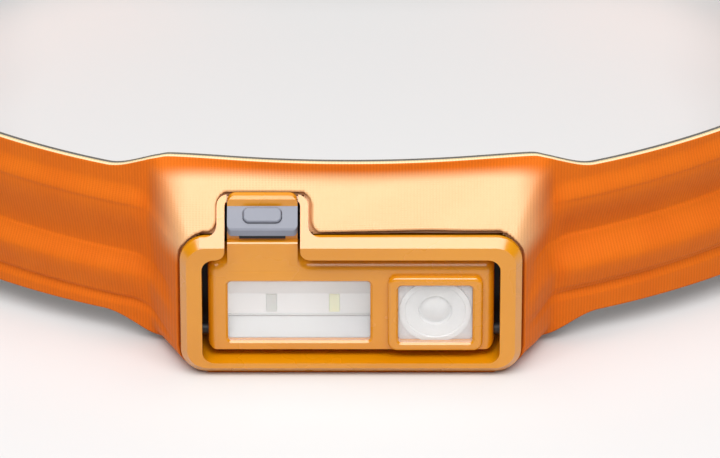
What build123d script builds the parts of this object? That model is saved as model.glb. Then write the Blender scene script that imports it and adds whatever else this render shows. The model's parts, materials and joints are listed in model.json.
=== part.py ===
"""Headlamp with a tilting lamp in a moulded frame, a fabric headband and a rear battery pack.

Millimetres. +X is to the right of the lamp seen from its front, +Y goes from the lamp's front face
to the back of the head, +Z is up. While modelling, Y is counted from the frame's front face; save()
moves every piece back by half the depth, so that the origin is the centre of the bottom.
"""

from build123d import *
from math import cos, radians, sin, sqrt
import os

os.makedirs("parts", exist_ok=True)

# Whole object
DEPTH = 177.0

# Plan of the headband's outer surface: a shallow front arc, a tighter temple arc, a straight side
# that carries the slider, and a rear corner arc that leads to the battery pack.
FRONT_R = 140.0
FRONT_Y = 7.4
FRONT_TURN = 33.0
TEMPLE_R = 52.0
SIDE_RUN = 40.0
REAR_R = 50.0

# Fabric of the headband
PANEL_HALF = 41.5
PANEL_FRONT = 1.75
PANEL_TOP = 44.8
PANEL_SKIN = 1.2
PANEL_BACK = 12.4
PANEL_R = 185.0
STRIP_T = 1.9
SIDE_BOTTOM = 6.15
SIDE_TOP = 41.0
SIDE_T = 3.2
LINING_T = 0.8
TAPER_RUN = 31.0
ELASTIC_BOTTOM = 13.0
ELASTIC_TOP = 37.0
ELASTIC_T = 2.9

# Lamp frame
FRAME_HALF = 34.8
FRAME_BOTTOM = 0.5
FRAME_TOP = 32.85
CHAMFER = 1.65
FACE_HALF = 33.5
FACE_BOTTOM = 2.2
FACE_TOP = 31.2
SKIRT_HALF = 33.6
SKIRT_BOTTOM = 1.7
SKIRT_TOP = 30.6
FRAME_DEPTH = 10.8
OPENING_HALF = 30.4
OPENING_BOTTOM = 3.35
OPENING_TOP = 28.35
HUMP_HALF = 9.3
HUMP_NOTCH = 7.7
HUMP_LENGTH = 11.3
HUMP_NOTCH_LENGTH = 10.4
HUMP_CROSS_DROP = 1.4
NOTCH_CORNER = 2.0
OPENING_CORNER = 2.6
HUMP_T = 2.2
PLATE_FRONT = 11.0
PLATE_BACK = 12.2
DETENT = (15.0, 10.6, 13.0)

# Tilting lamp
LAMP_HALF = 29.2
LAMP_FACE = 2.5
LAMP_BOTTOM = 5.25
LAMP_TOP = 26.6
LAMP_BACK = 10.2
LAMP_SPLIT = 9.0
TOP_R = 3.0
WALL = 1.4
FLARE_R = 2.6
PIVOT_Y = 5.7
PIVOT_Z = 8.4
PIN_R = 1.2
PIN_GAP = 0.05
BUSH_R = 2.1
BUSH_END = 32.45
POD_X = -18.0
POD_HALF = 7.15
HOOD_TOP = 39.5
HOOD_CORNER = 1.7

# Windows and optics
FLOOD_X = -10.6
FLOOD_Z = 14.3
FLOOD_W = 29.1
FLOOD_H = 14.25
FLOOD_LED_X = (-16.3, -3.4)
FLOOD_LED_Z = (11.2, 15.4)
TRAY_WALL = 7.5
TRAY_HALF = 15.3
WINDOW_BEVEL = 0.45
SPOT_X = 17.2
SPOT_Z = 14.35
SPOT_W = 15.2
SPOT_H = 13.6
BOSS_W = 19.45
BOSS_H = 17.85
BOSS_FACE = 1.2
OPTIC_R = 7.35
BOARD_T = 0.6
BOARD_FACE = 8.1

# Button on its sloping plate
SLOPE = 39.4
PLATE_CORNER = (2.6, 34.1)
BUTTON_W = 7.8
BUTTON_L = 3.3
BUTTON_PROUD = 0.8
BUTTON_GAP = 0.1
BUTTON_UP_SLOPE = 3.05
BUTTON_TRAVEL = 0.7

# Rear battery pack
PACK_HALF = 31.0
PACK_TOP = 44.0
PACK_FRONT = 159.0
PACK_SPLIT = 161.0
PACK_BACK = DEPTH
PACK_WALL = 1.8
PACK_CORNER = 7.0
BAR_X = 37.5
BAR_R = 1.5
EAR_END = 40.0
PORT_X = 14.0
PORT_Y = 170.5
LIGHT_X = [-18.0 + 4.0 * i for i in range(4)]
LIGHT_Z = 33.0

# Lead from the pack to the lamp
LEAD_R = 1.1
LEAD_Z = 9.0
LEAD_INSET = 1.6
LEAD_END_X = 33.8

# Screws
SCREW_R = 0.7
SCREW_HEAD_R = 1.2
SCREW_HEAD_H = 0.7
FRAME_SCREW_TIP = 7.0
FRAME_SCREWS = [(side * 32.0, z) for side in (-1, 1) for z in (3.6, 28.6)]
LAMP_SCREW_TIP = 5.6
LAMP_SCREWS = [(-27.2, 14.0), (6.8, 9.0), (6.8, 21.5), (27.2, 14.0)]
PACK_SCREW_TIP = 165.0
PACK_SCREWS = [(side * 26.0, z) for side in (-1, 1) for z in (6.0, 38.0)]

# Slider on the straight side of each elastic strap
SLIDER_Y = 94.0
SLIDER_L = 14.0
SLIDER_BOTTOM = 11.0
SLIDER_TOP = 39.0
SLIDER_WALL = 1.4
SLIDER_GAP = 0.3


def save(node, shape):
    """Write one sub-part, moved so that the origin is the centre of the bottom."""
    export_step(Pos(0, -DEPTH / 2, 0) * shape, f"parts/{node}.step")


def block(x0, x1, y0, y1, z0, z1):
    """Box between two corners."""
    return Pos((x0 + x1) / 2, (y0 + y1) / 2, (z0 + z1) / 2) * Box(x1 - x0, y1 - y0, z1 - z0)


def tile(x0, x1, y0, y1, z0, z1, r):
    """Box whose four edges along Y are rounded."""
    box = block(x0, x1, y0, y1, z0, z1)
    return fillet(box.edges().filter_by(Axis.Y), r)


def window(cx, cz, w, h, y0, y1, r):
    """Rounded tile given by its centre and size in the XZ plane."""
    return tile(cx - w / 2, cx + w / 2, y0, y1, cz - h / 2, cz + h / 2, r)


def section_x(points, x0, x1):
    """Solid whose YZ section is a polygon, from x0 to x1."""
    face = make_face(Polyline(*[(x0, y, z) for y, z in points], close=True))
    return extrude(face, amount=x1 - x0, dir=(1, 0, 0))


def rod_x(y, z, r, x0, x1):
    return Pos((x0 + x1) / 2, y, z) * Rot(0, 90, 0) * Cylinder(r, x1 - x0)


def rod_y(x, z, r, y0, y1):
    return Pos(x, (y0 + y1) / 2, z) * Rot(90, 0, 0) * Cylinder(r, y1 - y0)


def rod_z(x, y, r, z0, z1):
    return Pos(x, y, (z0 + z1) / 2) * Cylinder(r, z1 - z0)


def screw_y(x, z, head, tip):
    """Screw along Y whose flush head starts at one depth and whose point is at another."""
    neck = head + (SCREW_HEAD_H if tip > head else -SCREW_HEAD_H)
    return rod_y(x, z, SCREW_HEAD_R, *sorted((head, neck))) + rod_y(x, z, SCREW_R, *sorted((neck, tip)))


def screw_seat_y(x, z, face, through):
    """Counterbore and clearance hole for such a screw."""
    return screw_y(x, z, face, through) + rod_y(x, z, SCREW_HEAD_R, *sorted((face, 2 * face - through)))


def mirrored(shape):
    return shape.mirror(Plane.YZ)


# ---------------------------------------------------------------- plan of the headband

def plan_centres():
    """Arc centres of the right half's outer line, with the straight side's X and its first Y."""
    turn = radians(FRONT_TURN)
    front_centre = (0.0, FRONT_Y + FRONT_R)
    temple_centre = ((FRONT_R - TEMPLE_R) * sin(turn), front_centre[1] - (FRONT_R - TEMPLE_R) * cos(turn))
    side_x = temple_centre[0] + TEMPLE_R
    side_y = temple_centre[1]
    rear_centre = (side_x - REAR_R, side_y + SIDE_RUN)
    return front_centre, temple_centre, side_x, side_y, rear_centre


FRONT_C, TEMPLE_C, SIDE_X, SIDE_Y, REAR_C = plan_centres()
REAR_Y = REAR_C[1] + REAR_R
BAR_Y = REAR_Y - ELASTIC_T / 2 - 0.2


def on_arc(centre, r, heading):
    """Point of an arc where the line's heading, counted from +X, is the given angle."""
    a = radians(heading)
    return Vector(centre[0] + r * sin(a), centre[1] - r * cos(a), 0)


def arc(centre, r, start, end):
    middle = (start + end) / 2
    return ThreePointArc(on_arc(centre, r, start), on_arc(centre, r, middle), on_arc(centre, r, end))


def front_heading(x, r):
    """Heading on the front arc where it passes a given x."""
    return Vector(0, -1, 0).get_angle(Vector(x, -sqrt(r * r - x * x), 0))


def band_line(inset, start_x=None, start_y=None, end_y=None, end_x=None):
    """Edges of the right half at an inset, from a point at the front or side to one at the side or rear."""
    edges = []
    if start_x is not None:
        r = FRONT_R - inset
        edges.append(arc(FRONT_C, r, front_heading(start_x, r), FRONT_TURN))
        edges.append(arc(TEMPLE_C, TEMPLE_R - inset, FRONT_TURN, 90))
    side = SIDE_X - inset
    low = SIDE_Y if start_y is None else start_y
    high = REAR_C[1] if end_y is None else end_y
    if high > low:
        edges.append(Line((side, low, 0), (side, high, 0)))
    if end_x is not None:
        edges.append(arc(REAR_C, REAR_R - inset, 90, 180))
        rear = REAR_Y - inset
        edges.append(Line((REAR_C[0], rear, 0), (end_x, rear, 0)))
    return edges


def strip(inset, thickness, z0, z1, **ends):
    """Upright strip of the band between two insets."""
    outer = band_line(inset, **ends)
    inner = band_line(inset + thickness, **ends)
    closing = [Line(outer[0] @ 0, inner[0] @ 0), Line(outer[-1] @ 1, inner[-1] @ 1)]
    face = make_face(outer + inner + closing)
    return Pos(0, 0, z0) * extrude(face, amount=z1 - z0, dir=(0, 0, 1))


def lead_edges():
    """Centre line of the lead on the right half, from the frame to the pack."""
    return [Pos(0, 0, LEAD_Z) * edge
            for edge in band_line(LEAD_INSET, start_x=LEAD_END_X, end_x=PACK_HALF + 1.0)]


def lead_tube(r):
    edges = lead_edges()
    start = edges[0]
    section = Plane(origin=start @ 0, z_dir=start % 0) * Circle(r)
    return sweep(section, path=Wire(edges))


# ---------------------------------------------------------------- fabric

def slope_cutter(drop):
    """Everything above the 45 degree slope between the frame and the band's upper edge."""
    reach = 60.0
    points = [(-reach, FACE_TOP - reach - drop), (reach, FACE_TOP + reach - drop), (-reach, 2 * reach)]
    return section_x(points, -reach, reach)


def panel_plan(inset, z0, z1):
    """Upright prism of the front panel: narrow at the frame and wide at the valleys."""
    front = PANEL_FRONT
    back = 15.4
    narrow = FRAME_HALF + 0.6 - inset
    wide = PANEL_HALF - inset
    corners = [(-narrow, front), (narrow, front), (wide, back), (-wide, back)]
    face = make_face(Polyline(*[(x, y, z0) for x, y in corners], close=True))
    return extrude(face, amount=z1 - z0, dir=(0, 0, 1))


def curved_plate(front, thickness, half, z0, z1):
    """Plate that follows the forehead: an annular sector about the panel's centre of curvature."""
    centre_y = PANEL_BACK + PANEL_R
    outer_r = centre_y - front
    inner_r = outer_r - thickness
    ring = Pos(0, centre_y, (z0 + z1) / 2) * (Cylinder(outer_r, z1 - z0) - Cylinder(inner_r, z1 - z0))
    return ring & block(-half, half, 0, 60, z0, z1)


def front_shroud():
    """Fabric panel: sloping skin on the top, side facets, lower wall and the strip at the upper edge."""
    strip_front = PANEL_BACK - STRIP_T
    outer = panel_plan(0, 0, PANEL_TOP) - slope_cutter(0.15)
    inner = panel_plan(PANEL_SKIN, PANEL_SKIN, PANEL_TOP) - slope_cutter(0.15 + PANEL_SKIN * sqrt(2))
    behind = curved_plate(strip_front, 40, 60, -1, PANEL_TOP + 1)
    skin = outer - inner - behind
    plate = curved_plate(strip_front, STRIP_T, PANEL_HALF - 0.6, 0, PANEL_TOP)
    plate -= block(-33.4, 33.4, 0, 40, 1.4, 38.6)
    plate -= block(-PANEL_HALF, -33, 0, 40, LEAD_Z - 2, LEAD_Z + 2)
    skin -= frame_outline(0.3)
    skin -= extrude(slope_plane(1.0) * rim_outline(0.3), amount=-6.0)
    return skin + plate - lead_tube_left(LEAD_R + 0.3)


def side_band():
    """Right moulded side band, whose upper edge comes down towards the elastic strap."""
    band = strip(0, SIDE_T, SIDE_BOTTOM, SIDE_TOP, start_x=PANEL_HALF, end_y=SIDE_Y + 1)
    rear = SIDE_Y + 2
    wedge = [(rear - TAPER_RUN, SIDE_TOP), (rear, SIDE_TOP), (rear, ELASTIC_TOP + 1)]
    return band - section_x(wedge, SIDE_X / 2, SIDE_X + 20)


def band_lining():
    """Soft grey lining along the inside of the front panel and both side bands."""
    right = strip(SIDE_T, LINING_T, SIDE_BOTTOM + 0.3, SIDE_TOP - 0.3, start_x=PANEL_HALF, end_y=SIDE_Y - 4)
    middle = curved_plate(PANEL_BACK, LINING_T, PANEL_HALF, 0.3, PANEL_TOP - 0.1)
    return middle + right + mirrored(right)


def elastic_strap():
    """Right elastic strap from the side band to its fold round the pack's strap bar."""
    ends = dict(start_y=SIDE_Y + 1, end_x=BAR_X)
    strap = strip(0.2, ELASTIC_T, ELASTIC_BOTTOM, ELASTIC_TOP, **ends)
    strap += rod_z(BAR_X, BAR_Y, BAR_R + 1.5, ELASTIC_BOTTOM, ELASTIC_TOP)
    return strap - rod_z(BAR_X, BAR_Y, BAR_R + 0.1, 0, PANEL_TOP)


# ---------------------------------------------------------------- frame

def outline(half, bottom, top, y, r):
    """Rounded rectangle in the XZ plane at depth y."""
    plane = Plane(origin=(0, y, (bottom + top) / 2), x_dir=(1, 0, 0), z_dir=(0, -1, 0))
    return plane * RectangleRounded(2 * half, top - bottom, r)


def frame_outline(grow):
    """Prism of the frame's largest outline."""
    half = FRAME_HALF + grow
    return tile(-half, half, -1, 5, FRAME_BOTTOM - grow, FRAME_TOP + grow, 5.5 + grow)


def slope_plane(rise):
    """Plane of the 45 degree slope, with its own Y running up the slope."""
    shift = rise / sqrt(2)
    return Plane(origin=(POD_X, -shift, FACE_TOP + shift), x_dir=(1, 0, 0), z_dir=(0, -1, 1))


def rim_outline(grow):
    """Outline of the rim round the pod, flaring into the frame's chamfer at its foot."""
    flare = 2.5 - grow
    foot = CHAMFER * sqrt(2) + grow
    half = HUMP_HALF + grow
    length = HUMP_LENGTH + grow
    base = Pos(0, foot / 2) * Rectangle(2 * (half + 3.5), foot)
    body = Pos(0, length / 2) * Rectangle(2 * half, length)
    body = fillet(body.vertices().group_by(Axis.Y)[-1], 2.4 + grow)
    shape = base + body
    inner_corners = [v for v in shape.vertices() if abs(abs(v.X) - half) < 0.1 and abs(v.Y - foot) < 0.1]
    return fillet(inner_corners, flare)


def hump_rim():
    """Narrow rim that lies on the slope round the pod; its crossing is sunk to pass behind the hood."""
    notch = Pos(0, HUMP_NOTCH_LENGTH / 2 - 2) * Rectangle(2 * HUMP_NOTCH, HUMP_NOTCH_LENGTH + 4)
    notch = fillet(notch.vertices().group_by(Axis.Y)[-1], 1.6)
    rim = extrude(slope_plane(0) * (rim_outline(0) - notch), amount=-HUMP_T)
    sunk = Pos(0, HUMP_LENGTH) * Rectangle(2 * POD_HALF + 0.3, 6)
    return rim - extrude(slope_plane(0) * sunk, amount=-HUMP_CROSS_DROP)


def notch_corners():
    """Corners left between the opening and the notch, rounded off the frame."""
    corners = None
    for side in (-1, 1):
        x = POD_X + side * HUMP_NOTCH
        square = block(*sorted((x - side, x + side * NOTCH_CORNER)), -1, FRAME_DEPTH + 1,
                       OPENING_TOP - 1, OPENING_TOP + NOTCH_CORNER)
        rounding = rod_y(x + side * NOTCH_CORNER, OPENING_TOP + NOTCH_CORNER, NOTCH_CORNER, -2, FRAME_DEPTH + 2)
        corner = square - rounding
        corners = corner if corners is None else corners + corner
    return corners


def front_frame():
    """Bezel with a chamfer all round, a skirt behind it and the rim round the pod."""
    face = outline(FACE_HALF, FACE_BOTTOM, FACE_TOP, 0, 4.2)
    full = outline(FRAME_HALF, FRAME_BOTTOM, FRAME_TOP, CHAMFER, 5.5)
    bezel = loft([face, full])
    bezel += tile(-FRAME_HALF, FRAME_HALF, CHAMFER, CHAMFER + 0.9, FRAME_BOTTOM, FRAME_TOP, 5.5)
    skirt = tile(-SKIRT_HALF, SKIRT_HALF, CHAMFER, FRAME_DEPTH, SKIRT_BOTTOM, SKIRT_TOP, 4)
    frame = bezel + skirt
    frame -= tile(-OPENING_HALF, OPENING_HALF, -1, FRAME_DEPTH + 1, OPENING_BOTTOM, OPENING_TOP, OPENING_CORNER)
    frame += hump_rim()
    frame -= block(POD_X - HUMP_NOTCH, POD_X + HUMP_NOTCH, -1, 7.0, OPENING_TOP - 3, 37.0)
    frame -= block(POD_X - HUMP_NOTCH, POD_X + HUMP_NOTCH, -1, FRAME_DEPTH + 1, OPENING_TOP - 3, SKIRT_TOP + 1)
    frame -= notch_corners()
    for side in (-1, 1):
        frame -= rod_x(PIVOT_Y, PIVOT_Z, BUSH_R, *sorted((side * (OPENING_HALF - 1), side * BUSH_END)))
    for x, z in FRAME_SCREWS:
        frame -= rod_y(x, z, SCREW_R, FRAME_SCREW_TIP, FRAME_DEPTH + 1)
    return frame


def frame_back_plate():
    """Plate that closes the frame behind the lamp, with the gland where the lead comes in."""
    plate = tile(-33.2, 33.2, PLATE_FRONT, PLATE_BACK, 1.9, 30.4, 3.6)
    plate += tile(POD_X - 8.6, POD_X + 8.6, PLATE_FRONT, PLATE_BACK, 20, 37.8, 2.5)
    plate += block(-36.6, -32.6, PLATE_FRONT, 14.9, LEAD_Z - 1.9, LEAD_Z + 1.9)
    plate -= lead_tube_left(LEAD_R + 0.5)
    for x, z in FRAME_SCREWS:
        plate -= screw_seat_y(x, z, PLATE_BACK, PLATE_FRONT - 1)
    return plate


def lead_tube_left(r):
    return mirrored(lead_tube(r))


def frame_screws():
    return Compound([screw_y(x, z, PLATE_BACK, FRAME_SCREW_TIP) for x, z in FRAME_SCREWS])


def hinge_bush(side):
    ends = sorted((side * OPENING_HALF, side * BUSH_END))
    return rod_x(PIVOT_Y, PIVOT_Z, BUSH_R, *ends) - rod_x(PIVOT_Y, PIVOT_Z, PIN_R + PIN_GAP, *ends)


def detent_spring():
    """Leaf fixed to the back plate, with a bead that drops into the lamp's detents."""
    leaf = block(8, 22, 10.6, PLATE_FRONT, 11, 15)
    return leaf + (Pos(*DETENT) * Sphere(0.4))


# ---------------------------------------------------------------- tilting lamp

def lamp_section(y1):
    """Side view of the lamp's main body up to depth y1, with its rounded upper front edge."""
    top = Line((0, y1, LAMP_TOP), (0, LAMP_FACE + TOP_R, LAMP_TOP))
    a = TOP_R * (1 - cos(radians(45)))
    bend = ThreePointArc((0, LAMP_FACE + TOP_R, LAMP_TOP), (0, LAMP_FACE + a, LAMP_TOP - a),
                         (0, LAMP_FACE, LAMP_TOP - TOP_R))
    rest = Polyline((0, LAMP_FACE, LAMP_TOP - TOP_R), (0, LAMP_FACE, LAMP_BOTTOM),
                    (0, y1, LAMP_BOTTOM), (0, y1, LAMP_TOP))
    return make_face([top, bend] + rest.edges())


def pod_column():
    """Column that carries the button: front tab, ledge, seat of the plate and the hood behind it."""
    foot = LAMP_TOP - WALL - 1
    points = [(LAMP_FACE, foot), (LAMP_FACE, 30.75), (LAMP_FACE + 0.25, 31.0), (3.6, 31.0), (3.6, 32.6), (4.1, 33.2),
              (6.5, 35.4), (6.5, HOOD_TOP - 0.6), (7.0, HOOD_TOP), (8.3, HOOD_TOP), (8.1, HOOD_TOP - 1.2),
              (7.2, 36.6), (8.6, 30), (LAMP_SPLIT, LAMP_TOP), (LAMP_SPLIT, foot)]
    column = section_x(points, POD_X - POD_HALF, POD_X + POD_HALF)
    return column & tile(POD_X - POD_HALF, POD_X + POD_HALF, 0, 12, foot - 5, HOOD_TOP, HOOD_CORNER)


def flare_section(x, top):
    """Section of the lamp's top at one x, rounded at its front like the rest of the top edge."""
    a = TOP_R * (1 - cos(radians(45)))
    bend = ThreePointArc((x, LAMP_FACE + TOP_R, top), (x, LAMP_FACE + a, top - a), (x, LAMP_FACE, top - TOP_R))
    foot = LAMP_TOP - TOP_R - 0.2
    back = LAMP_SPLIT - 0.7
    rest = Polyline((x, LAMP_FACE, top - TOP_R), (x, LAMP_FACE, foot), (x, back, foot),
                    (x, back, top), (x, LAMP_FACE + TOP_R, top))
    return make_face([bend] + rest.edges())


def pod_flare(side):
    """Concave sweep from the lamp's top up to the side of the pod."""
    sections = []
    for out in (0.0, 0.12, 0.35, 0.75, 1.3, 1.9, FLARE_R):
        rise = FLARE_R - sqrt(FLARE_R ** 2 - (FLARE_R - out) ** 2)
        sections.append(flare_section(POD_X + side * (POD_HALF + out), LAMP_TOP + rise))
    return loft(sections, ruled=True)


def button_tile(grow, low, high):
    """Rounded block on the button's sloping plate, between two heights above the plate."""
    length = BUTTON_UP_SLOPE
    a = radians(SLOPE)
    origin = (POD_X, PLATE_CORNER[0] + length * cos(a), PLATE_CORNER[1] + length * sin(a))
    plane = Plane(origin=origin, x_dir=(1, 0, 0), z_dir=(0, -sin(a), cos(a)))
    shape = RectangleRounded(BUTTON_W + 2 * grow, BUTTON_L + 2 * grow, 1.2 + grow)
    return extrude(plane.offset(low) * shape, amount=high - low)


def bevelled_opening(x, z, w, h, face):
    """Cutter for a window opening with a bevel round its front edge."""
    hole = window(x, z, w, h, face - 1, LAMP_FACE + WALL + 1, 0.8)
    flat = window(x, z, w + 2 * WINDOW_BEVEL, h + 2 * WINDOW_BEVEL, face - 1, face + WINDOW_BEVEL, 0.8 + WINDOW_BEVEL)
    return hole + chamfer(flat.faces().sort_by(Axis.Y)[-1].edges(), WINDOW_BEVEL - 0.01)


def lamp_housing():
    """Front shell of the lamp with its two window openings, the spot boss and the button's pod."""
    body = Pos(-LAMP_HALF, 0, 0) * extrude(lamp_section(LAMP_SPLIT), amount=2 * LAMP_HALF, dir=(1, 0, 0))
    body = fillet(body.edges().filter_by(Axis.Y), 1.8)
    cavity = block(-LAMP_HALF + WALL, LAMP_HALF - WALL, LAMP_FACE + WALL, LAMP_SPLIT + 1,
                   LAMP_BOTTOM + WALL, LAMP_TOP - WALL - 1)
    shell = body - cavity
    boss = window(SPOT_X, SPOT_Z, BOSS_W, BOSS_H, BOSS_FACE, LAMP_FACE + WALL, 2)
    shell += fillet(boss.faces().sort_by(Axis.Y)[0].edges(), 0.9)
    shell += pod_column() + pod_flare(-1) + pod_flare(1)
    for x, z in LAMP_SCREWS:
        shell += rod_y(x, z, 1.1, LAMP_FACE + 0.5, LAMP_SPLIT)
        shell -= rod_y(x, z, SCREW_R, LAMP_SCREW_TIP, LAMP_SPLIT + 1)
    shell -= bevelled_opening(FLOOD_X, FLOOD_Z, FLOOD_W, FLOOD_H, LAMP_FACE)
    shell -= bevelled_opening(SPOT_X, SPOT_Z, SPOT_W, SPOT_H, BOSS_FACE)
    shell -= rod_y(SPOT_X, SPOT_Z, OPTIC_R + 0.1, BOSS_FACE + 1.25, LAMP_FACE + WALL + 1)
    shell -= button_tile(0.2, -5.0, 0.0)
    for side in (-1, 1):
        shell -= rod_x(PIVOT_Y, PIVOT_Z, PIN_R, side * LAMP_HALF - 1.6, side * LAMP_HALF + 1.6)
    return shell


def lamp_back_cover():
    points = [(LAMP_SPLIT, LAMP_BOTTOM), (9.2, LAMP_BOTTOM), (LAMP_BACK, LAMP_BOTTOM + 1.5),
              (LAMP_BACK, LAMP_TOP - 0.6), (LAMP_BACK - 0.6, LAMP_TOP), (LAMP_SPLIT, LAMP_TOP)]
    cover = section_x(points, -LAMP_HALF + 0.3, LAMP_HALF - 0.3)
    for x, z in LAMP_SCREWS:
        cover -= screw_seat_y(x, z, LAMP_BACK, LAMP_SPLIT - 1)
    return cover - (Pos(*DETENT) * Sphere(0.5))


def cover_screws():
    return Compound([screw_y(x, z, LAMP_BACK, LAMP_SCREW_TIP) for x, z in LAMP_SCREWS])


def lamp_gasket():
    """Cord seal just inside the cover."""
    outer = tile(-25.9, 25.9, LAMP_SPLIT - 0.6, LAMP_SPLIT, 6.8, 24.1, 2)
    return outer - tile(-25.1, 25.1, LAMP_SPLIT - 1, LAMP_SPLIT + 1, 7.6, 23.3, 1.4)


def led_board():
    board = tile(-24.9, 24.9, BOARD_FACE, BOARD_FACE + BOARD_T, 7.8, 23.0, 1.2)
    for x, z in LAMP_SCREWS:
        board -= rod_y(x, z, 1.25, BOARD_FACE - 1, BOARD_FACE + 2)
    return board


def flood_window():
    return window(FLOOD_X, FLOOD_Z, FLOOD_W - 0.1, FLOOD_H - 0.1, LAMP_FACE + 0.3, LAMP_FACE + 1.3, 0.7)


def flood_reflector():
    """Tray behind the flood window: a back wall with holes for the LEDs between two sloping walls."""
    tray = block(FLOOD_X - TRAY_HALF, FLOOD_X + TRAY_HALF, LAMP_FACE + WALL, BOARD_FACE - 0.1, 6.7, 22.1)
    hollow = [(0, 7.15), (4.2, 7.15), (TRAY_WALL - 0.4, 10.3), (TRAY_WALL - 0.4, 10.7), (TRAY_WALL, 10.7),
              (TRAY_WALL, 15.6), (4.0, 21.6), (0, 21.6)]
    tray -= section_x(hollow, FLOOD_X - TRAY_HALF + 0.6, FLOOD_X + TRAY_HALF - 0.6)
    low, high = FLOOD_LED_Z
    for x in FLOOD_LED_X:
        tray -= block(x - 1.1, x + 1.1, 5, BOARD_FACE, low - 0.1, high + 0.1)
    return tray


def flood_led(x):
    low, high = FLOOD_LED_Z
    return block(x - 1.05, x + 1.05, TRAY_WALL - 0.1, BOARD_FACE, low, high)


def spot_window():
    return window(SPOT_X, SPOT_Z, SPOT_W - 0.1, SPOT_H - 0.1, BOSS_FACE + 0.2, BOSS_FACE + 1.2, 0.7)


def spot_optic():
    """Turned lens that gathers the spot LED's light: a dome in a groove, a flange and a pocket for the LED."""
    dome = ThreePointArc((0, 2.6), (1.7, 2.9), (3.05, 3.7))
    rest = Polyline((3.05, 3.7), (3.3, 3.7), (3.5, 3.0), (6.1, 2.75), (6.3, 2.5), (OPTIC_R, 2.5), (OPTIC_R, 3.4),
                    (6.5, 3.4), (3.3, 7.4), (2.3, 7.4), (2.3, 6.4), (0, 6.0), (0, 2.6))
    profile = make_face([dome] + rest.edges())
    return Pos(SPOT_X, 0, SPOT_Z) * revolve(profile, axis=Axis.Y, revolution_arc=360)


def optic_holder():
    """Square bright surround that carries the optic's flange."""
    frame = window(SPOT_X, SPOT_Z, SPOT_W + 1.2, SPOT_H + 1.6, LAMP_FACE + WALL + 0.1, BOARD_FACE - 0.1, 0.8)
    frame += window(SPOT_X, SPOT_Z, SPOT_W - 0.1, SPOT_H - 0.1, 2.8, LAMP_FACE + WALL + 1, 0.7)
    seat = rod_y(SPOT_X, SPOT_Z, OPTIC_R + 0.05, 0, 3.42)
    cup = Pos(SPOT_X, 5.72, SPOT_Z) * Rot(-90, 0, 0) * Cone(6.9, 3.4, 4.8)
    return frame - seat - cup


def spot_led():
    return block(SPOT_X - 1.7, SPOT_X + 1.7, BOARD_FACE - 0.6, BOARD_FACE, SPOT_Z - 1.7, SPOT_Z + 1.7)


def hinge_pin(side):
    ends = sorted((side * (LAMP_HALF - 1.6), side * 32.2))
    return rod_x(PIVOT_Y, PIVOT_Z, PIN_R, *ends)


def button_plate():
    """Grey plate that the button stands in, with rounded front and lower corners."""
    points = [(2.6, 32.6), (2.6, 33.9), (2.85, 34.3), (6.5, 37.3), (6.5, 35.4), (4.1, 33.2), (3.6, 32.6)]
    left, right = POD_X - POD_HALF, POD_X + POD_HALF
    plate = section_x(points, left, right)
    plate &= tile(left, right, 0, 12, 32.6, 42, 0.9)
    plan = block(left, right, 2.6, 14, 30, 40)
    plate &= fillet(plan.edges().filter_by(Axis.Z), 0.9)
    return plate - button_tile(BUTTON_GAP, -4, 2)


def plate_seal():
    return block(POD_X - 4.7, POD_X + 4.7, 3.0, 3.6, 31.7, 32.6)


def button_cap():
    cap = button_tile(0, -1.2, BUTTON_PROUD)
    return fillet(cap.faces().sort_by(Axis.Z)[-1].edges(), 0.4)


def button_switch():
    return button_tile(-0.8, -3.4, -1.2 - BUTTON_TRAVEL - 0.05)


# ---------------------------------------------------------------- rear pack

def pack_prism(grow, y0, y1, r):
    """The pack's rounded outline, grown or shrunk all round, between two depths."""
    return tile(-PACK_HALF - grow, PACK_HALF + grow, y0, y1, -grow, PACK_TOP + grow, r)


def ears():
    """Lugs that hold the strap bars; the lower ones are thicker, because the lead comes in through one."""
    shape = None
    for side in (-1, 1):
        for low, high in ((4.0, 12.6), (37.4, 41.0)):
            ear = block(*sorted((side * (PACK_HALF - 1), side * EAR_END)), BAR_Y - 2.4, BAR_Y + 2.6, low, high)
            shape = ear if shape is None else shape + ear
    return shape


def pack_outer_cover():
    """Deep cover with the strap bar lugs, the charging port and the status light holes."""
    solid = pack_prism(0, PACK_SPLIT, PACK_BACK, PACK_CORNER)
    solid = fillet(solid.faces().sort_by(Axis.Y)[-1].edges(), 3.5)
    hollow = pack_prism(-PACK_WALL, PACK_SPLIT - 1, PACK_BACK - PACK_WALL, PACK_CORNER - PACK_WALL)
    shell = solid + ears()
    shell -= hollow
    shell -= block(-PACK_HALF, PACK_HALF, PACK_SPLIT - 4, PACK_SPLIT, -1, PACK_TOP + 1)
    shell -= rod_z(BAR_X, BAR_Y, BAR_R, 10.9, 39.8) + rod_z(-BAR_X, BAR_Y, BAR_R, 10.9, 39.8)
    shell -= rod_x(REAR_Y - LEAD_INSET, LEAD_Z, LEAD_R + 0.5, -EAR_END - 1, -PACK_HALF + 4)
    shell -= block(PORT_X - 9, PORT_X + 7, PORT_Y - 3.4, PORT_Y + 3.4, PACK_TOP - 1.2, PACK_TOP + 1)
    shell -= block(PORT_X - 4.6, PORT_X + 4.6, PORT_Y - 1.75, PORT_Y + 1.75, PACK_TOP - 4, PACK_TOP + 1)
    for x, z in PACK_SCREWS:
        shell += rod_y(x, z, 2.0, PACK_SPLIT, PACK_BACK - 1)
        shell -= rod_y(x, z, SCREW_R, PACK_SPLIT - 1, PACK_SCREW_TIP)
    for x in LIGHT_X:
        shell -= rod_y(x, LIGHT_Z, 0.8, PACK_BACK - 4, PACK_BACK + 1)
    return shell


def pack_inner_cover():
    plate = pack_prism(0, PACK_FRONT, PACK_SPLIT, PACK_CORNER)
    plate -= ears()
    for x, z in PACK_SCREWS:
        plate -= screw_seat_y(x, z, PACK_FRONT, PACK_SPLIT + 1)
    return plate


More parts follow.
